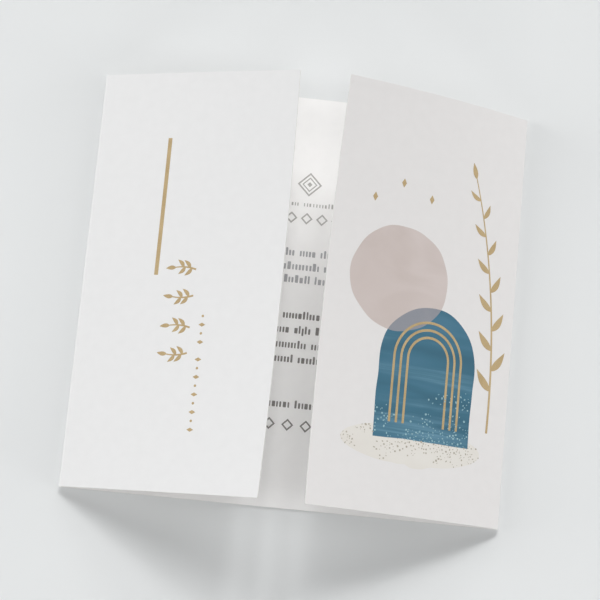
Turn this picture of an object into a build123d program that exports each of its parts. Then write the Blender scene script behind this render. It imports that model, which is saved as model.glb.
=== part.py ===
"""Gatefold greeting card: one sheet of white board, creased twice, lying on its back panel.

Both flaps stand half open over the back panel, as the board's own spring leaves them.
Units are millimetres. The origin is under the middle of the closed card, on the surface
that it lies on. +X runs to the right and +Y to the head of the card, as it is read, and
+Z is up.
"""

import os
from math import cos, pi, radians, sin

from build123d import *

# Driving sizes of the sheet
closed_width = 140.0  # outermost line of one crease to that of the other
card_height = 135.5  # foot to head, along the creases
board = 0.4  # thickness of the sheet
flap_width = 69.0  # outermost line of the crease to the free edge, on the outer face

# The creases, pressed by a rule from outside before folding
bend_radius = 0.7  # inside radius of the folded board
bead_radius = 0.3  # the ridge that the rule raises inside the bend
bead_rise = 0.22  # how far the ridge stands out of the inner face
shoulder_radius = 0.5  # the rounded valleys where the rule's channel ends, outside
shoulder_depth = 0.07

# How the flaps stand: angle from the back panel to the flap's chord, in degrees, at the
# foot, the middle and the head, and the radius to which the board curls across the flap
left_opening = (25.6, 23.1, 24.5)
left_curl = 1500.0
right_opening = (21.4, 21.4, 25.6)
right_curl = 300.0

# Sections that each flap is lofted through, evenly spaced from foot to head
station_count = 5

outer_radius = bend_radius + board
arc_centre_x = closed_width / 2 - outer_radius


def opening_at(opening, share):
    """Angle of the flap's chord, with share from -1 at the foot to 1 at the head."""
    foot, middle, head = opening
    twist = (head - foot) / 2
    spring = (head + foot) / 2 - middle
    return radians(middle + twist * share + spring * share**2)


def crease_turn(opening, curl):
    """How far the crease turns the board, so that it meets the flap's middle section
    in line. The flap's own curl adds half its arc to the angle of its chord."""
    chord = opening_at(opening, 0)
    half_curl = (flap_width - outer_radius * (pi / 2 - chord)) / (2 * curl)
    return pi - chord - half_curl


def on_arc(radius, angle):
    """A point of the right crease's arc. Angle 0 is the crease's outermost line, and a
    quarter turn back from it is where the bend leaves the back panel."""
    return arc_centre_x + radius * cos(angle), outer_radius + radius * sin(angle)


def crease_section(turn):
    """The bend of the right crease in the XZ plane: a ring sector, with the ridge inside
    and a shallow valley outside at each end of the bend."""
    start, end = -pi / 2, turn - pi / 2
    middle = (start + end) / 2
    bend = make_face(
        [
            ThreePointArc(*(on_arc(outer_radius, a) for a in (start, middle, end))),
            Line(on_arc(outer_radius, end), on_arc(bend_radius, end)),
            ThreePointArc(*(on_arc(bend_radius, a) for a in (end, middle, start))),
            Line(on_arc(bend_radius, start), on_arc(outer_radius, start)),
        ]
    )
    ridge_centre = on_arc(bend_radius - bead_rise + bead_radius, middle)
    section = bend + Pos(*ridge_centre) * Circle(bead_radius)
    for angle in (start + turn / 8, end - turn / 8):
        valley_centre = on_arc(outer_radius + shoulder_radius - shoulder_depth, angle)
        section -= Pos(*valley_centre) * Circle(shoulder_radius)
    return section


def spine():
    """The back panel and both creases, one section all the way from foot to head."""
    section = Pos(0, board / 2) * Rectangle(2 * arc_centre_x, board)
    section += crease_section(crease_turn(right_opening, right_curl))
    section += mirror(crease_section(crease_turn(left_opening, left_curl)), about=Plane.YZ)
    return extrude(Plane.XZ * section, amount=card_height / 2, both=True)


def flap_section(opening, curl, share):
    """Outline of a right flap at one station: two arcs a board's thickness apart, from the
    end of the crease to the free edge, which is cut square."""
    y = share * card_height / 2
    crease_end = crease_turn(opening, curl) - pi / 2
    length = flap_width - outer_radius * crease_end
    half_curl = length / (2 * curl)
    rise = opening_at(opening, share) + half_curl

    def face_point(foot_point, radius, along):
        turned = rise - along * 2 * half_curl
        x, z = foot_point
        return (
            x - radius * (sin(rise) - sin(turned)),
            y,
            z + radius * (cos(turned) - cos(rise)),
        )

    outer_foot = on_arc(outer_radius, crease_end)
    inner_foot = on_arc(bend_radius, crease_end)
    outer = [face_point(outer_foot, curl, along) for along in (0, 0.5, 1)]
    inner = [face_point(inner_foot, curl - board, along) for along in (1, 0.5, 0)]
    return Wire(
        [
            Edge.make_three_point_arc(*outer),
            Edge.make_line(outer[2], inner[0]),
            Edge.make_three_point_arc(*inner),
            Edge.make_line(inner[2], outer[0]),
        ]
    )


def flap(opening, curl):
    """A right flap, lofted from foot to head so that its opening and twist change smoothly."""
    shares = [2 * i / (station_count - 1) - 1 for i in range(station_count)]
    return Solid.make_loft([flap_section(opening, curl, share) for share in shares])


right_flap = flap(right_opening, right_curl)
left_flap = mirror(flap(left_opening, left_curl), about=Plane.YZ)
card = spine() + left_flap + right_flap
card.label = "card"

os.makedirs("parts", exist_ok=True)
export_step(card, "parts/card.step")
print("volume", round(card.volume, 1), "solids", len(card.solids()), "faces", len(card.faces()))
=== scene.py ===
"""Looks of a gatefold greeting card: the sheet, its print, the table, the light and the camera.

Sizes are in millimetres until a vertex is made, and MM turns them into metres.
A flap or panel has page coordinates: x to the right and y to the head as the card lies,
both from the middle of that flap or panel, measured along the paper.
"""

import math
import random

import bmesh
import bpy
from mathutils import Matrix, Vector
from mathutils.geometry import delaunay_2d_cdt


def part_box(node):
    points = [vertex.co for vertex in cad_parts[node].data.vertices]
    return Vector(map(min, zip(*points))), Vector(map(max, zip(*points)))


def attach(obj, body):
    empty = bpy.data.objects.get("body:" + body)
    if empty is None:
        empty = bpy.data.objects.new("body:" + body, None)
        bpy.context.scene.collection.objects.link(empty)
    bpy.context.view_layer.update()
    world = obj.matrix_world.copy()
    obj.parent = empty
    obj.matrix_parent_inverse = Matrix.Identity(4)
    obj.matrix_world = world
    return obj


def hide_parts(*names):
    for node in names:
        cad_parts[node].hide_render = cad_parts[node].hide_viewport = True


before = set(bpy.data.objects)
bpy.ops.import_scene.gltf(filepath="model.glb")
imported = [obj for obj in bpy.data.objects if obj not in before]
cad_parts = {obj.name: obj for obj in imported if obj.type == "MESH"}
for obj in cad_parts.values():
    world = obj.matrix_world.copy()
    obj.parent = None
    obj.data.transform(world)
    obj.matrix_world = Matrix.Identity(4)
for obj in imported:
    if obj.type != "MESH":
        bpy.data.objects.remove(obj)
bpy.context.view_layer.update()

MM = 0.001
QUARTER = math.pi / 2

# Every random choice is drawn from here
dice = random.Random(5)

# The sheet as the solid has it
low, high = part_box("card")
closed_width = (high.x - low.x) / MM
card_height = (high.y - low.y) / MM
board = 0.4
flap_width = 69.0
bend_radius = 0.7
outer_radius = bend_radius + board
bead_radius = 0.3
bead_rise = 0.22
shoulder_radius = 0.5
shoulder_depth = 0.07
shoulder_share = 1 / 8  # of the bend, from either end to the shoulder there
arc_centre_x = closed_width / 2 - outer_radius

# How densely the sheet is meshed, and how much its cut edge is rounded
flap_step = 1.5
crease_step = math.radians(4)
edge_softness = 0.05

# Every piece has a map of the flat paper, for its material: this many mm to its unit
map_unit = 100

# Each ink is a closed slab: a layer lies this far over the paper or the layer below it,
# and the slab reaches this far into the paper and has points no further apart than its grid
print_lift = 0.014
print_depth = 0.06
print_grid = 2.0


def opening_at(opening, share):
    """Angle of the flap's chord, with share from -1 at the foot to 1 at the head."""
    foot, middle, head = opening
    twist = (head - foot) / 2
    spring = (head + foot) / 2 - middle
    return math.radians(middle + twist * share + spring * share**2)


class Flap:
    """One flap and its crease. A place on it is d, the distance from the crease's
    outermost line along the outer face, and y."""

    def __init__(self, name, side, opening, curl):
        self.name = name
        self.side = side
        self.opening = opening
        self.curl = curl
        chord = opening_at(opening, 0)
        half_curl = (flap_width - outer_radius * (QUARTER - chord)) / (2 * curl)
        self.bend_end = QUARTER - chord - half_curl
        self.bend_length = outer_radius * self.bend_end
        self.length = flap_width - self.bend_length

    def arc(self, angle, y, radius):
        """A point of the crease, at an angle up from its outermost line."""
        x = self.side * (arc_centre_x + radius * math.cos(angle))
        return Vector((x, y, outer_radius + radius * math.sin(angle)))

    def face(self, d, y):
        """Point and outward normal on the outer face."""
        if d <= self.bend_length:
            angle = d / outer_radius
            normal = Vector((self.side * math.cos(angle), 0, math.sin(angle)))
            return self.arc(angle, y, outer_radius), normal
        rise = opening_at(self.opening, 2 * y / card_height) + self.length / (2 * self.curl)
        tilt = rise - (d - self.bend_length) / self.curl
        x = -self.side * self.curl * (math.sin(rise) - math.sin(tilt))
        z = self.curl * (math.cos(tilt) - math.cos(rise))
        point = self.arc(self.bend_end, y, outer_radius) + Vector((x, 0, z))
        return point, Vector((self.side * math.sin(tilt), 0, math.cos(tilt)))

    def page(self, x, y):
        """Point and normal at page coordinates on the outer face."""
        return self.face(flap_width / 2 - self.side * x, y)


left_flap = Flap("left", -1, (25.6, 23.1, 24.5), 1500.0)
right_flap = Flap("right", 1, (21.4, 21.4, 25.6), 300.0)


def panel_page(x, y):
    """Point and normal on the inner face of the back panel."""
    return Vector((x, y, board)), Vector((0, 0, 1))


# The sheet


def crease_columns(flap):
    """The bend from the back panel to the flap, as angle, outer radius and inner radius
    at each step: shoulders outside where the rule's channel ends, and the bead inside."""
    start, end = -QUARTER, flap.bend_end
    turn = end - start
    shoulders = (start + turn * shoulder_share, end - turn * shoulder_share)
    bead_angle = (start + end) / 2
    bead_centre = bend_radius - bead_rise + bead_radius
    count = math.ceil(turn / crease_step)
    columns = []
    for i in range(count + 1):
        angle = start + turn * i / count
        outer = outer_radius
        for shoulder in shoulders:
            along = outer_radius * (angle - shoulder)
            outer = min(outer, outer_radius - shoulder_depth + along**2 / (2 * shoulder_radius))
        inner = bend_radius
        along = bead_centre * math.sin(angle - bead_angle)
        if abs(along) < bead_radius:
            inner = min(inner, bead_centre - math.sqrt(bead_radius**2 - along**2))
        columns.append((angle, outer, inner))
    return columns


def sheet_columns():
    """The sheet's section as columns from the left free edge to the right one. Each is
    (zone, flat distance across the sheet, function of y giving the outer and inner point)."""
    columns = []

    def flap_column(flap, d):
        def points(y):
            outer, normal = flap.face(d, y)
            return outer, outer - normal * board

        columns.append((flap.name, flap.side * (closed_width / 2 + d), points))

    def crease_column(flap, angle, outer, inner):
        def points(y):
            return flap.arc(angle, y, outer), flap.arc(angle, y, inner)

        across = flap.side * (closed_width / 2 + outer_radius * angle)
        columns.append((flap.name, across, points))

    def panel_column(x):
        columns.append(("panel", x, lambda y: (Vector((x, y, 0)), Vector((x, y, board)))))

    def flap_places(flap):
        count = round(flap.length / flap_step)
        return [flap.bend_length + flap.length * i / count for i in range(count, 0, -1)]

    for d in flap_places(left_flap):
        flap_column(left_flap, d)
    for angle, outer, inner in reversed(crease_columns(left_flap)):
        crease_column(left_flap, angle, outer, inner)
    panel_count = round(2 * arc_centre_x / flap_step)
    for i in range(1, panel_count):
        panel_column(arc_centre_x * (2 * i / panel_count - 1))
    for angle, outer, inner in crease_columns(right_flap):
        crease_column(right_flap, angle, outer, inner)
    for d in reversed(flap_places(right_flap)):
        flap_column(right_flap, d)
    return columns


# Which material of the sheet each zone takes
sheet_slots = {"left": 0, "panel": 0, "right": 1, "inner": 2, "edge": 3}


def make_sheet():
    """The folded sheet as one closed mesh: two skins and a softened cut edge all round."""
    columns = sheet_columns()
    distances = [distance for _, distance, _ in columns]
    row_count = round(card_height / flap_step)
    rows = [card_height * (i / row_count - 0.5) for i in range(row_count + 1)]
    last = len(columns) - 1
    mesh = bmesh.new()
    flat_map = mesh.loops.layers.uv.new("flat")
    outer, inner, flat = [], [], []
    for y in rows:
        pairs = [points(y) for _, _, points in columns]
        outer.append([mesh.verts.new(a * MM) for a, _ in pairs])
        inner.append([mesh.verts.new(b * MM) for _, b in pairs])
        flat.append([(distance, y) for distance in distances])

    def quad(corners, flats, zone, flip=False):
        step = -1 if flip else 1
        face = mesh.faces.new(corners[::step])
        face.material_index = sheet_slots[zone]
        for loop, (u, v) in zip(face.loops, flats[::step]):
            loop[flat_map].uv = (u / map_unit, v / map_unit)

    def patch(grid, r, c):
        return [grid[r][c], grid[r][c + 1], grid[r + 1][c + 1], grid[r + 1][c]]

    for r in range(row_count):
        for c in range(last):
            quad(patch(outer, r, c), patch(flat, r, c), columns[c][0], flip=True)
            quad(patch(inner, r, c), patch(flat, r, c), "inner")
    borders = []
    for r, flip in ((0, False), (row_count, True)):
        borders.append((outer[r], inner[r], distances, flip))
    for c, flip in ((0, True), (last, False)):
        borders.append(([row[c] for row in outer], [row[c] for row in inner], rows, flip))
    arrises = []
    for outer_line, inner_line, places, flip in borders:
        for i in range(len(places) - 1):
            outer_pair, inner_pair = outer_line[i : i + 2], inner_line[i : i + 2]
            flats = [(places[i], 0), (places[i + 1], 0), (places[i + 1], board), (places[i], board)]
            quad(outer_pair + inner_pair[::-1], flats, "edge", flip)
            arrises += [mesh.edges.get(outer_pair), mesh.edges.get(inner_pair)]
    for r in (0, row_count):
        arrises += [mesh.edges.get((outer[r][c], inner[r][c])) for c in (0, last)]
    soften(mesh, arrises, sheet_slots["edge"])
    return finish_piece("card_sheet", mesh, [white_board, tinted_and_shaded_board, inner_board_painted_light, cut_board])


def soften(mesh, arrises, edge_slot):
    """Rounds the arrises of the cut edge. Sharp borders keep the shading of the broad faces
    straight up to it."""
    bmesh.ops.recalc_face_normals(mesh, faces=mesh.faces)
    bmesh.ops.bevel(
        mesh, geom=arrises, offset=edge_softness * MM, segments=2, profile=0.5, affect="EDGES",
        material=edge_slot,
    )
    for face in mesh.faces:
        face.smooth = True
    for edge in mesh.edges:
        on_cut = [face.material_index == edge_slot for face in edge.link_faces]
        edge.smooth = all(on_cut) or not any(on_cut)


def finish_piece(name, mesh, materials):
    """Turns a bmesh into a piece that moves with the card."""
    data = bpy.data.meshes.new(name)
    mesh.to_mesh(data)
    mesh.free()
    for material in materials:
        data.materials.append(material)
    piece = bpy.data.objects.new(name, data)
    bpy.context.scene.collection.objects.link(piece)
    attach(piece, "root")
    return piece


# Outlines of print, in page coordinates


def circle(x, y, radius, count=64):
    turns = [2 * math.pi * i / count for i in range(count)]
    return [(x + radius * math.cos(a), y + radius * math.sin(a)) for a in turns]


def bar(x, y, length, width, angle=0.0):
    """A straight bar centred on x, y."""
    c, s = math.cos(angle), math.sin(angle)
    corners = [(-1, -1), (1, -1), (1, 1), (-1, 1)]
    halves = [(i * length / 2, j * width / 2) for i, j in corners]
    return [(x + a * c - b * s, y + a * s + b * c) for a, b in halves]


def rounded_bar(left, right, foot, head, radius, corner_steps=2):
    """An upright rectangle with rounded corners."""
    points = []
    corners = [(right, head, 0), (left, head, 1), (left, foot, 2), (right, foot, 3)]
    for x, y, quarter in corners:
        inward_x = x - radius if x == right else x + radius
        inward_y = y - radius if y == head else y + radius
        for i in range(corner_steps + 1):
            a = QUARTER * (quarter + i / corner_steps)
            points.append((inward_x + radius * math.cos(a), inward_y + radius * math.sin(a)))
    return points


def lozenge(x, y, width, height):
    return [(x + width / 2, y), (x, y + height / 2), (x - width / 2, y), (x, y - height / 2)]


def open_lozenge(x, y, size, line):
    """The four sides of a lozenge as separate outlines that meet at its corners."""
    outer = lozenge(x, y, size, size)
    inner = lozenge(x, y, size - 2 * line, size - 2 * line)
    sides = []
    for i in range(4):
        j = (i + 1) % 4
        sides.append([outer[i], outer[j], inner[j], inner[i]])
    return sides


def bezier(points, count):
    """Points of a quadratic curve through its control points."""
    a, b, c = (Vector(p) for p in points)
    shares = [i / count for i in range(count + 1)]
    return [a * (1 - t) ** 2 + b * 2 * t * (1 - t) + c * t**2 for t in shares]


def stroke(points, start_width, end_width):
    """A curved stroke whose width runs evenly from one end to the other."""
    one, other = [], []
    last = len(points) - 1
    for i, p in enumerate(points):
        ahead, behind = points[min(i + 1, last)], points[max(i - 1, 0)]
        run = (ahead - behind).normalized()
        across = Vector((-run.y, run.x)) * (start_width + (end_width - start_width) * i / last) / 2
        one.append(tuple(p - across))
        other.append(tuple(p + across))
    return one + other[::-1]


leaf_fullness = 0.75  # under 1, so that a leaf is fullest before its middle


def leaf(x, y, angle, length, width, bow=0.0, count=14):
    """A pointed leaf from its foot at x, y, bowed sideways."""
    c, s = math.cos(angle), math.sin(angle)
    one, other = [], []
    for i in range(count + 1):
        t = i / count
        half = width / 2 * math.sin(math.pi * t**leaf_fullness)
        side = bow * math.sin(math.pi * t)
        for points, across in ((one, side - half), (other, side + half)):
            points.append((x + length * t * c - across * s, y + length * t * s + across * c))
    return one + other[-2:0:-1]


def arch(x, foot, half_width, spring, count=40):
    """A round-headed arch: its foot, the height where its sides end, and a half circle."""
    turns = [math.pi * i / count for i in range(count + 1)]
    head = [(x + half_width * math.cos(a), spring + half_width * math.sin(a)) for a in turns]
    return [(x + half_width, foot)] + head + [(x - half_width, foot)]


def arch_line(x, foot, half_width, spring, width):
    """A line that follows an arch from foot to foot."""
    outer = arch(x, foot, half_width + width / 2, spring)
    inner = arch(x, foot, half_width - width / 2, spring)
    return outer + inner[::-1]


def divided(outline, step):
    """The outline with points added until no side is longer than step."""
    points = []
    for a, b in zip(outline, outline[1:] + outline[:1]):
        start, run = Vector(a), Vector(b) - Vector(a)
        count = max(1, math.ceil(run.length / step))
        points += [start + run * (i / count) for i in range(count)]
    return points


hand_step = 1.0
hand_waves = ((2, 1.0, 1), (5, 0.6, 2), (11, 0.3, 0))  # waves to a turn, share, part of phase


def hand_cut(outline, amount, phase):
    """The outline as a hand would cut or paint it: slightly uneven about its middle."""
    points = divided(outline, hand_step)
    middle = sum(points, Vector((0, 0))) / len(points)
    uneven = []
    for p in points:
        out = p - middle
        a = math.atan2(out.y, out.x)
        wave = sum(part * math.sin(waves * a + shift * phase) for waves, part, shift in hand_waves)
        uneven.append(p + out.normalized() * amount * wave)
    return uneven


def inside(point, outline):
    """Whether a point is inside an outline."""
    x, y = point
    found = False
    for (ax, ay), (bx, by) in zip(outline, outline[1:] + outline[:1]):
        if (ay > y) != (by > y) and x < ax + (y - ay) * (bx - ax) / (by - ay):
            found = not found
    return found


# Output kind and merging distance of the triangulation
WHOLE_HULL = 0
merge_distance = 1e-4


def filled(outlines, overlaps, holes):
    """Points and triangles that fill the outlines but for the holes. Each triangle has a
    number: i + 1 where it is also inside overlaps[i], and otherwise 0."""
    coords, loops = [], []
    for outline in (*outlines, *overlaps, *holes):
        loop = divided(outline, print_grid)
        loops.append(list(range(len(coords), len(coords) + len(loop))))
        coords += loop
    xs = [p[0] for outline in outlines for p in outline]
    ys = [p[1] for outline in outlines for p in outline]
    left, foot = min(xs), min(ys)
    for i in range(1, math.ceil((max(xs) - left) / print_grid)):
        for j in range(1, math.ceil((max(ys) - foot) / print_grid)):
            coords.append(Vector((left + i * print_grid, foot + j * print_grid)))
    result = delaunay_2d_cdt(coords, [], loops, WHOLE_HULL, merge_distance)
    points, _, triangles, _, _, sources = result
    first_overlap = len(outlines)
    first_hole = first_overlap + len(overlaps)
    kept = []
    for triangle, source in zip(triangles, sources):
        if any(s >= first_hole for s in source) or not any(s < first_overlap for s in source):
            continue
        above = [s - first_overlap + 1 for s in source if s >= first_overlap]
        kept.append((triangle, max(above, default=0)))
    return points, kept


def printed(name, outlines, place, materials, layer=1, overlaps=(), holes=()):
    """A field of print as a closed slab that follows the paper. Outlines that overlap are
    one field. Where a face is also inside overlaps[i], it takes materials[i + 1]."""
    points, triangles = filled(outlines, overlaps, holes)
    mesh = bmesh.new()
    flat_map = mesh.loops.layers.uv.new("flat")
    top, under = {}, {}
    for v in sorted({v for triangle, _ in triangles for v in triangle}):
        point, normal = place(*points[v])
        top[v] = mesh.verts.new((point + normal * print_lift * layer) * MM)
        under[v] = mesh.verts.new((point - normal * print_depth) * MM)

    def add(corners, numbers, index):
        face = mesh.faces.new(corners)
        face.material_index = index
        for loop, v in zip(face.loops, numbers):
            loop[flat_map].uv = points[v] / map_unit

    sides = {}
    for triangle, index in triangles:
        add([top[v] for v in triangle], triangle, index)
        add([under[v] for v in reversed(triangle)], triangle[::-1], index)
        for a, b in zip(triangle, triangle[1:] + triangle[:1]):
            sides[(a, b)] = index
    for (a, b), index in sides.items():
        if (b, a) not in sides:
            add([top[b], top[a], under[a], under[b]], [b, a, a, b], index)
    bmesh.ops.recalc_face_normals(mesh, faces=mesh.faces)
    piece = finish_piece(name, mesh, materials)


# Materials


def linear(red, green, blue):
    """A colour written as display values from 0 to 255, as a shader takes it."""
    def one(v):
        v /= 255
        return v / 12.92 if v <= 0.04045 else ((v + 0.055) / 1.055) ** 2.4

    return (one(red), one(green), one(blue), 1.0)


def share(value):
    """A share from 0 to 1, as a ramp takes it."""
    return (value, value, value, 1)


# The colour sockets of a mix node, which has others of the same names
MIX_SHARE, MIX_FIRST, MIX_SECOND, MIX_RESULT = 0, 6, 7, 2


class Surface:
    """A material under construction: its shader and the flat coordinates of the sheet."""

    def __init__(self, name, roughness, specular, metallic=0.0):
        self.material = bpy.data.materials.new(name)
        self.material.use_nodes = True
        self.nodes = self.material.node_tree.nodes
        self.links = self.material.node_tree.links
        self.shader = self.nodes["Principled BSDF"]
        self.shader.inputs["Roughness"].default_value = roughness
        self.shader.inputs["Specular IOR Level"].default_value = specular
        self.shader.inputs["Metallic"].default_value = metallic
        self.flat = self.nodes.new("ShaderNodeUVMap")
        self.flat.uv_map = "flat"

    def noise(self, size, detail=3.0, stretch=(1, 1, 1), angle=0.0, warp=0.0, seed=0.0):
        """Noise whose features are about size mm, stretched and turned on the sheet."""
        mapping = self.nodes.new("ShaderNodeMapping")
        mapping.inputs["Scale"].default_value = stretch
        mapping.inputs["Rotation"].default_value = (0, 0, angle)
        mapping.inputs["Location"].default_value = (seed, seed, 0)
        noise = self.nodes.new("ShaderNodeTexNoise")
        noise.inputs["Scale"].default_value = map_unit / size
        noise.inputs["Detail"].default_value = detail
        noise.inputs["Distortion"].default_value = warp
        self.links.new(self.flat.outputs["UV"], mapping.inputs["Vector"])
        self.links.new(mapping.outputs["Vector"], noise.inputs["Vector"])
        return noise.outputs["Fac"]

    def ramp(self, value, stops):
        """Colours along a value, as (place, colour) pairs."""
        ramp = self.nodes.new("ShaderNodeValToRGB")
        elements = ramp.color_ramp.elements
        while len(elements) < len(stops):
            elements.new(0.5)
        for element, (place, colour) in zip(elements, stops):
            element.position = place
            element.color = colour
        self.links.new(value, ramp.inputs["Fac"])
        return ramp.outputs["Color"]

    def blend(self, amount, first, second):
        """A mix of two colours, of which each may be a constant."""
        mix = self.nodes.new("ShaderNodeMix")
        mix.data_type = "RGBA"
        for socket, value in ((MIX_SHARE, amount), (MIX_FIRST, first), (MIX_SECOND, second)):
            if isinstance(value, bpy.types.NodeSocket):
                self.links.new(value, mix.inputs[socket])
            else:
                mix.inputs[socket].default_value = value
        return mix.outputs[MIX_RESULT]

    def colour(self, value):
        self.links.new(value, self.shader.inputs["Base Color"])

    def relief(self, height, depth):
        """Relief whose full height is depth, in mm."""
        bump = self.nodes.new("ShaderNodeBump")
        bump.inputs["Strength"].default_value = 1.0
        bump.inputs["Distance"].default_value = depth * MM
        self.links.new(height, bump.inputs["Height"])
        self.links.new(bump.outputs["Normal"], self.shader.inputs["Normal"])

    def tooth(self, size, depth):
        """The fine relief of paper or of ink on it, in mm."""
        self.relief(self.noise(size, detail=2), depth)


def board_surface(name, dark, light):
    """Uncoated white board: faint cloudy formation and a fine tooth."""
    surface = Surface(name, roughness=0.86, specular=0.25)
    clouds = surface.noise(3.2, detail=4)
    surface.colour(surface.ramp(clouds, [(0.3, dark), (0.7, light)]))
    surface.tooth(size=0.35, depth=0.012)
    return surface.material


def cut_surface():
    """The cut edge: fibres drawn along the cut, a little darker than the faces."""
    surface = Surface("cut_board", roughness=0.95, specular=0.1)
    fibres = surface.noise(1.1, detail=4, stretch=(0.4, 6, 1))
    dark, light = linear(214, 213, 210), linear(238, 237, 235)
    surface.colour(surface.ramp(fibres, [(0.3, dark), (0.7, light)]))
    surface.tooth(size=0.3, depth=0.03)
    return surface.material


def gold_surface():
    """Matt gold ink: metal flakes in a binder, so a fine grain and slow changes of tone."""
    surface = Surface("gold_ink", roughness=0.62, specular=0.3, metallic=0.3)
    slow = surface.noise(5.0, detail=2, warp=0.5)
    body = surface.ramp(slow, [(0.3, linear(166, 144, 105)), (0.7, linear(178, 157, 119))])
    fine = surface.noise(0.28, detail=1)
    flakes = surface.ramp(fine, [(0.5, share(0)), (0.75, share(0.6))])
    surface.colour(surface.blend(flakes, body, linear(201, 181, 142)))
    surface.tooth(size=0.3, depth=0.006)
    return surface.material


def painted_surface():
    """Teal paint laid on with a broad dry brush, in nearly level sweeps."""
    surface = Surface("teal_paint", roughness=0.7, specular=0.25)
    broad = surface.noise(16, detail=2, stretch=(0.35, 1.6, 1), angle=0.2, warp=0.6)
    body = surface.ramp(
        broad,
        [(0.36, linear(58, 101, 121)), (0.52, linear(64, 110, 131)), (0.66, linear(74, 118, 141))],
    )
    sweeps = surface.noise(15, detail=3, stretch=(0.16, 1.7, 1), angle=0.24, warp=0.7, seed=3.1)
    lifted = surface.ramp(sweeps, [(0.57, share(0)), (0.69, share(1))])
    bristles = surface.noise(2.6, detail=3, stretch=(0.07, 2.6, 1), angle=0.24, seed=7.7)
    streaks = surface.ramp(bristles, [(0.4, linear(75, 119, 139)), (0.62, linear(100, 142, 163))])
    surface.colour(surface.blend(lifted, body, streaks))
    surface.relief(bristles, depth=0.01)
    return surface.material


def wash_surface(name, deep, pale, seed):
    """A thin translucent wash as it dries on paper: cloudy, a little uneven."""
    surface = Surface(name, roughness=0.82, specular=0.25)
    clouds = surface.noise(13, detail=3, stretch=(0.6, 1, 1), angle=0.5, warp=0.8, seed=seed)
    surface.colour(surface.ramp(clouds, [(0.34, deep), (0.66, pale)]))
    surface.tooth(size=0.35, depth=0.012)
    return surface.material


def ink_surface(name, dark, light):
    """Litho ink on board, with the paper's tooth showing through."""
    surface = Surface(name, roughness=0.75, specular=0.25)
    surface.colour(surface.ramp(surface.noise(0.5, detail=3), [(0.35, dark), (0.7, light)]))
    surface.tooth(size=0.35, depth=0.01)
    return surface.material


white_board = board_surface("white_board", linear(232, 232, 232), linear(234, 234, 234))
# The right flap's outer face: a faint blush print tint, and also painted shade, darker than the
# white board because that flap gets less light
tinted_and_shaded_board = board_surface("tinted_and_shaded_board", linear(228, 226, 225), linear(230, 228, 227))
# The inside of the same board, painted lighter than its outer face: painted light that stands in
# for light reaching the card's hollow
inner_board_painted_light = board_surface("inner_board_painted_light", linear(248, 247, 246), linear(250, 249, 248))
cut_board = cut_surface()
gold = gold_surface()
teal = painted_surface()
rose = wash_surface("rose_wash", linear(200, 188, 183), linear(208, 197, 193), 1.3)
rose_on_teal = wash_surface("rose_on_teal", linear(140, 144, 152), linear(149, 150, 157), 2.2)
cream = wash_surface("cream_wash", linear(225, 221, 214), linear(228, 225, 219), 4.1)
pale_fleck = ink_surface("pale_fleck", linear(120, 165, 180), linear(176, 204, 206))
tan_fleck = ink_surface("tan_fleck", linear(168, 162, 149), linear(190, 182, 167))
grey_ink = ink_surface("grey_ink", linear(123, 120, 118), linear(137, 134, 131))
soft_grey_ink = ink_surface("soft_grey_ink", linear(165, 165, 167), linear(177, 177, 179))
pale_grey_ink = ink_surface("pale_grey_ink", linear(171, 169, 166), linear(185, 183, 179))

sheet = make_sheet()
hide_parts("card")


# Left flap: everything reads from the foot towards the head, so the print's own up is -x

rule_x = -8.2
rule_foot = 0.9
rule_head = 45.9
rule_width = 1.35

ornament_base_x = 5.4
ornament_places = (-24.4, -15.3, -6.0, 3.4)
twig_stem = ((0.5, 0), (-0.7, 3.6), (0, 7.4))
twig_stem_steps = 16
twig_stem_widths = (0.62, 0.34)
twig_pairs = ((3, 3.5), (8, 3.3))  # step along the stem and length of leaf
twig_leaf_turn = 0.78
twig_leaf_width = 1.25
twig_leaf_bow = 0.25
twig_tip_y = 6.9
twig_tip_length = 3.5
twig_tip_width = 1.35
twig_tip_turn = 0.1

bead_row_x = 9.4
bead_row_foot = -48.0
bead_pitch = 2.77
bead_count = 14
missing_bead = 9  # its place is the gap between two words
bead_length = 1.3
bead_width = 2.3
dot_radius = 0.42


def turned(x, y, outline):
    """An outline drawn upright about a base point, turned to read towards the head."""
    return [(x - v, y + u) for u, v in outline]


def twig(bend):
    """A short curved twig with two pairs of leaves and one at its tip, about 10 mm high.
    Its stem bends to the left where bend is 1 and to the right where it is -1."""
    spots = bezier([(u * bend, v) for u, v in twig_stem], twig_stem_steps)
    outlines = [stroke(spots, *twig_stem_widths)]
    for i, length in twig_pairs:
        for side in (1, -1):
            spot = spots[i + (side * bend > 0)]
            angle = QUARTER + twig_leaf_turn * side
            bow = twig_leaf_bow * side
            outlines.append(leaf(spot.x, spot.y, angle, length, twig_leaf_width, bow))
    tip_turn = twig_tip_turn * bend
    tip = leaf(0, twig_tip_y, QUARTER - tip_turn, twig_tip_length, twig_tip_width, tip_turn)
    return outlines + [tip]


def print_left_flap():
    rule_middle = (rule_foot + rule_head) / 2
    rule = bar(rule_x, rule_middle, rule_head - rule_foot, rule_width, QUARTER)
    printed("gold_rule", [rule], left_flap.page, [gold])
    for number, y in enumerate(ornament_places):
        parts = twig(1 if number % 2 == 0 else -1)
        outlines = [turned(ornament_base_x, y, part) for part in parts]
        printed(f"gold_ornament_{number + 1}", outlines, left_flap.page, [gold])
    beads = []
    for i in range(bead_count):
        y = bead_row_foot + bead_pitch * i
        if i == missing_bead:
            continue
        if i % 2 == 0:
            beads.append(lozenge(bead_row_x, y, bead_width, bead_length))
        else:
            beads.append(circle(bead_row_x, y, dot_radius, 16))
    printed("gold_bead_row", beads, left_flap.page, [gold])


# Right flap: a washed sun behind a painted arch on a flecked bank, a gold sprig and gold lines

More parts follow.
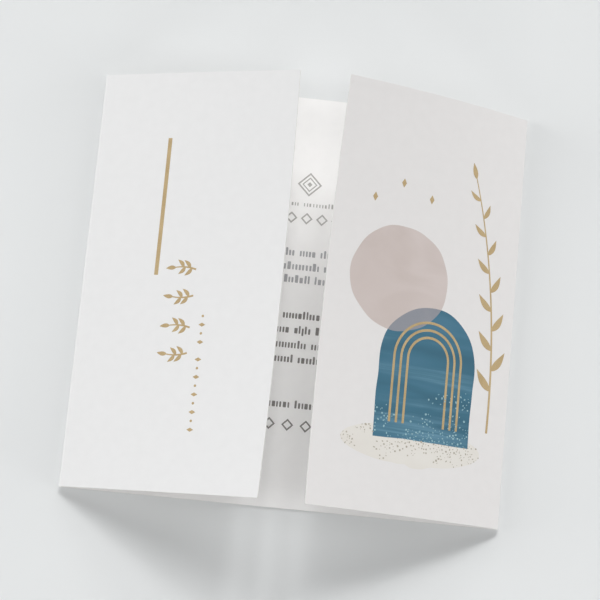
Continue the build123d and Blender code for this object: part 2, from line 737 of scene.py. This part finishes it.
arch_x = 3.0
arch_foot = -44.0
arch_half = 17.0
arch_spring = -18.0
line_insets = (5.0, 7.4, 9.8)
line_width = 0.8
line_foot = arch_foot + 5

sun_x = -9.5
sun_y = 6.5
sun_radius = 17.0

bank_x = -0.5
bank_y = -45.5
bank_length = 50.0
bank_height = 13.0

# Flecks lie in loose clumps. Rise and spread of the clumps are shares of the bank's height
clump_count = 44
clump_rise = 0.1
clump_spread = 0.42
fleck_count = 330
fleck_spread_x = 2.0
fleck_spread_y = 1.6
fleck_sizes = (0.3, 0.85)
fleck_corners = (5, 7)
fleck_slimness = (0.5, 1.0)
fleck_reach = (0.37, 0.6)  # from a fleck's middle to its corners, for a size of 1

sprig_route = ((26.5, -38.0), (28.0, 8.0), (15.0, 44.0))
sprig_steps = 40
sprig_stem_widths = (0.8, 0.35)
sprig_leaf_steps = range(6, 38, 3)
sprig_leaf_length = 9.4
sprig_leaf_shrink = 0.12  # for each step
sprig_leaf_turn = 0.68
sprig_leaf_slimness = 0.3
sprig_leaf_bow = 0.4
sprig_tip_sunk = 0.4
sprig_tip_turn = 0.3
sprig_tip_length = 5.4
sprig_tip_width = 1.8

spark_places = ((-21.0, 31.0), (-11.5, 37.0), (-1.0, 33.5))
spark_width = 1.7
spark_height = 3.0


def fleck(x, y, size):
    """A crumb of pigment: a small uneven blot with a few corners."""
    count = dice.randint(*fleck_corners)
    start = dice.uniform(0, math.pi)
    slim = dice.uniform(*fleck_slimness)
    c, s = math.cos(start), math.sin(start)
    points = []
    for i in range(count):
        a = 2 * math.pi * i / count
        reach = size * dice.uniform(*fleck_reach)
        u, v = reach * math.cos(a), reach * math.sin(a) * slim
        points.append((x + u * c - v * s, y + u * s + v * c))
    return points


def is_clear(x, y, size, placed):
    """Whether a fleck would keep off those placed before it, each given as x, y and size."""
    furthest = fleck_reach[1]
    return all(math.hypot(x - u, y - v) > furthest * (size + other) for u, v, other in placed)


def scattered_flecks(bank, painted):
    """The flecks on the bank and those on the painted arch."""
    clumps = []
    for _ in range(clump_count):
        x = bank_x + bank_length / 2 * dice.uniform(-1, 1)
        clumps.append((x, bank_y + bank_height * dice.gauss(clump_rise, clump_spread)))
    on_bank, on_arch, placed = [], [], []
    while len(placed) < fleck_count:
        clump_x, clump_y = dice.choice(clumps)
        x = clump_x + dice.gauss(0, fleck_spread_x)
        y = clump_y + dice.gauss(0, fleck_spread_y)
        size = dice.uniform(*fleck_sizes)
        on_paint = inside((x, y), painted)
        if not (on_paint or inside((x, y), bank)) or not is_clear(x, y, size, placed):
            continue
        placed.append((x, y, size))
        flecks = on_arch if on_paint else on_bank
        flecks.append(fleck(x, y, size))
    return on_bank, on_arch


def sprig():
    """A stem with leaves to both sides that get smaller towards its tip."""
    spots = bezier(sprig_route, sprig_steps)
    outlines = [stroke(spots, *sprig_stem_widths)]
    for number, i in enumerate(sprig_leaf_steps):
        spot, ahead = spots[i], spots[i + 1]
        run = math.atan2(ahead.y - spot.y, ahead.x - spot.x)
        side = 1 if number % 2 == 0 else -1
        angle = run + sprig_leaf_turn * side
        length = sprig_leaf_length - sprig_leaf_shrink * i
        width = length * sprig_leaf_slimness
        outlines.append(leaf(spot.x, spot.y, angle, length, width, sprig_leaf_bow * side))
    tip_x, tip_y = spots[-1]
    tip_angle = QUARTER + sprig_tip_turn
    tip = leaf(tip_x, tip_y - sprig_tip_sunk, tip_angle, sprig_tip_length, sprig_tip_width)
    return outlines + [tip]


def print_right_flap():
    page, ink = right_flap.page, "ink_print"
    painted = hand_cut(arch(arch_x, arch_foot, arch_half, arch_spring), amount=0.22, phase=0.7)
    sun = hand_cut(circle(sun_x, sun_y, sun_radius, 120), amount=0.25, phase=2.1)
    rounded = [(u * bank_length / 2, v * bank_height / 2) for u, v in circle(0, 0, 1, 90)]
    bank = hand_cut([(bank_x + u, bank_y + v) for u, v in rounded], amount=0.5, phase=4.0)
    printed("cream_bank", [bank], page, [cream], holes=[painted])
    printed("painted_arch", [painted], page, [teal], holes=[sun])
    printed("washed_sun", [sun], page, [rose, rose_on_teal], overlaps=[painted])
    on_bank, on_arch = scattered_flecks(bank, painted)
    printed("tan_flecks", on_bank, page, [tan_fleck], layer=2)
    printed("pale_flecks", on_arch, page, [pale_fleck], layer=2)
    lines = []
    for inset in line_insets:
        lines.append(arch_line(arch_x, line_foot, arch_half - inset, arch_spring, line_width))
    printed("gold_arch_lines", lines, page, [gold], layer=2)
    printed("gold_sprig", sprig(), page, [gold], layer=2)
    sparks = [lozenge(x, y, spark_width, spark_height) for x, y in spark_places]
    printed("gold_sparks", sparks, page, [gold], layer=2)


# Inside: a plain mark, and rows of upright ticks in groups where a text stands

# Height over the middle of the panel, and width
soft_rows = ((15.2, 92), (10.6, 78), (6.3, 52))
dark_rows = ((-5.5, 104), (-10.3, 98), (-15.2, 100), (-19.9, 70), (-34.6, 82))
small_row = (31.6, 46)

# Height, width, gap, and gap added between groups
text_ticks = (1.8, 0.66, 0.44, 1.3)
small_ticks = (1.1, 0.36, 0.56, 1.2)

# What the ticks are drawn from. Reach and corner are shares of a tick's height and width
tick_widths = (0.8, 0.9, 1.0, 1.0, 1.6)
tick_gaps = (0.8, 1.25)
group_sizes = (4, 15)
tick_reach = 0.5
tall_share = 0.14
tall_reach = 0.92
hanging_share = 0.06
hanging_reach = 0.85
tick_corner = 0.3

# Height over the middle of the panel, pitch and count
upper_heading = (27.0, 5.0, 9)
lower_heading = (-41.0, 5.9, 7)
heading_size = 3.9
heading_line = 0.68

mark_y = 38.5
mark_size = 8.0
mark_line = 0.7
inner_mark_share = 0.62
inner_mark_line = 0.5
mark_core = 1.7


def tick_row(row, style):
    """Upright ticks in groups, centred on the panel: a few are broad, tall or hang down."""
    y, row_width = row
    height, width, gap, group_gap = style
    ticks = []
    x = -row_width / 2
    left_in_group = dice.randint(*group_sizes)
    while x < row_width / 2:
        wide = width * dice.choice(tick_widths)
        kind = dice.random()
        foot = y - height * (hanging_reach if kind > 1 - hanging_share else tick_reach)
        head = y + height * (tall_reach if kind < tall_share else tick_reach)
        ticks.append(rounded_bar(x, x + wide, foot, head, width * tick_corner))
        x += wide + gap * dice.uniform(*tick_gaps)
        left_in_group -= 1
        if left_in_group == 0:
            x += group_gap
            left_in_group = dice.randint(*group_sizes)
    return ticks


def lozenge_row(y, pitch, count):
    """Open lozenges in a row, centred on the panel."""
    sides = []
    for i in range(count):
        x = pitch * (i - (count - 1) / 2)
        sides += open_lozenge(x, y, heading_size, heading_line)
    return sides


def print_inside():
    page, ink = panel_page, "ink_print"
    soft = []
    for row in soft_rows:
        soft += tick_row(row, text_ticks)
    printed("soft_tick_rows", soft, page, [soft_grey_ink])
    dark = lozenge_row(*lower_heading)
    for row in dark_rows:
        dark += tick_row(row, text_ticks)
    printed("dark_tick_rows", dark, page, [grey_ink])
    pale = lozenge_row(*upper_heading) + tick_row(small_row, small_ticks)
    printed("pale_heading", pale, page, [pale_grey_ink])
    mark = open_lozenge(0, mark_y, mark_size, mark_line)
    mark += open_lozenge(0, mark_y, mark_size * inner_mark_share, inner_mark_line)
    mark.append(lozenge(0, mark_y, mark_core, mark_core))
    printed("plain_mark", mark, page, [pale_grey_ink])


print_left_flap()
print_right_flap()
print_inside()


# The table, the light and the camera

# The table lies this far under the card, so that a hair of shade shows at the card's edges
floor_gap = 0.2
table_size = 1400.0
table_colour = (0.790, 0.806, 0.808, 1)


def make_table():
    mesh = bmesh.new()
    bmesh.ops.create_grid(mesh, x_segments=8, y_segments=8, size=table_size / 2 * MM)
    data = bpy.data.meshes.new("table")
    mesh.to_mesh(data)
    mesh.free()
    table = bpy.data.objects.new("table", data)
    table.location.z = -floor_gap * MM
    bpy.context.scene.collection.objects.link(table)
    material = bpy.data.materials.new("table")
    material.use_nodes = True
    shader = material.node_tree.nodes["Principled BSDF"]
    shader.inputs["Base Color"].default_value = table_colour
    shader.inputs["Roughness"].default_value = 0.9
    shader.inputs["Specular IOR Level"].default_value = 0.1
    data.materials.append(material)


# Name, azimuth from +X towards +Y, height over the table, spread and level of each lamp, with
# angles in degrees. The level is the share of full white that the lamp alone would give a
# face turned to it.
lamps = (
    ("key_middle", 95, 40, 10, 0.114),
    ("key_right", 78, 40, 10, 0.221),
    ("key_right_low", 71, 25, 12, 0.130),
    ("key_left", 109, 40, 10, 0.072),
    ("key_left_high", 102, 47, 12, 0.110),
    ("key_left_low", 109, 25, 12, 0.110),
    ("left_fill", 182, 20, 24, 0.320),
    ("left_fill_head", 172, 21, 10, 0.081),
    ("right_fill", 352, 21, 10, 0.171),
    ("right_fill_high", 0, 29, 24, 0.106),
    ("right_fill_low", 8, 15, 12, 0.072),
    ("front_glow_left", 254, 9, 20, 0.207),
    ("front_glow_right", 286, 9, 20, 0.219),
    ("front_high", 270, 60, 40, 0.173),
    ("head_glow_left", 114, 9, 24, 0.165),
    ("head_glow_right", 66, 9, 24, 0.130),
)
seen_sky_level = 0.78


def make_lamps():
    for name, azimuth, height, spread, level in lamps:
        lamp = bpy.data.lights.new(name, "SUN")
        lamp.energy = level * math.pi
        lamp.angle = math.radians(spread)
        turn, rise = math.radians(azimuth), math.radians(height)
        level_run = math.cos(rise)
        to_lamp = Vector((level_run * math.cos(turn), level_run * math.sin(turn), math.sin(rise)))
        obj = bpy.data.objects.new(name, lamp)
        obj.rotation_mode = "QUATERNION"
        obj.rotation_quaternion = to_lamp.to_track_quat("Z", "Y")
        bpy.context.scene.collection.objects.link(obj)


def make_sky():
    """A sky that is only seen past the table or mirrored: the lamps alone light the card."""
    world = bpy.data.worlds.new("studio")
    world.use_nodes = True
    nodes, links = world.node_tree.nodes, world.node_tree.links
    path = nodes.new("ShaderNodeLightPath")
    seen = nodes.new("ShaderNodeMath")
    seen.operation = "MAXIMUM"
    level = nodes.new("ShaderNodeMath")
    level.operation = "MULTIPLY"
    level.inputs[1].default_value = seen_sky_level
    links.new(path.outputs["Is Camera Ray"], seen.inputs[0])
    links.new(path.outputs["Is Glossy Ray"], seen.inputs[1])
    links.new(seen.outputs[0], level.inputs[0])
    links.new(level.outputs[0], nodes["Background"].inputs["Strength"])
    nodes["Background"].inputs["Color"].default_value = (1, 1, 1, 1)
    bpy.context.scene.world = world


# The camera was fitted together with the card to the corners and edges in the photograph
camera_place = Vector((-27.18, -116.3, 605.23))
camera_view = Vector((0.04462, 0.18845, -0.98107))
camera_up = Vector((-0.1029, 0.97769, 0.18312))
sensor_width = 36.0
photo_width = 600
focal_pixels = 1902.3
focal_length = sensor_width * focal_pixels / photo_width


def make_camera():
    data = bpy.data.cameras.new("camera")
    data.sensor_width = sensor_width
    data.lens = focal_length
    data.clip_start = 0.01
    data.clip_end = 10
    camera = bpy.data.objects.new("camera", data)
    back = -camera_view.normalized()
    right = camera_up.cross(back).normalized()
    up = back.cross(right)
    turn = Matrix((right, up, back)).transposed().to_4x4()
    camera.matrix_world = Matrix.Translation(camera_place * MM) @ turn
    bpy.context.scene.collection.objects.link(camera)
    bpy.context.scene.camera = camera


make_table()
make_lamps()
make_sky()
make_camera()
bpy.context.scene.view_settings.view_transform = "Standard"
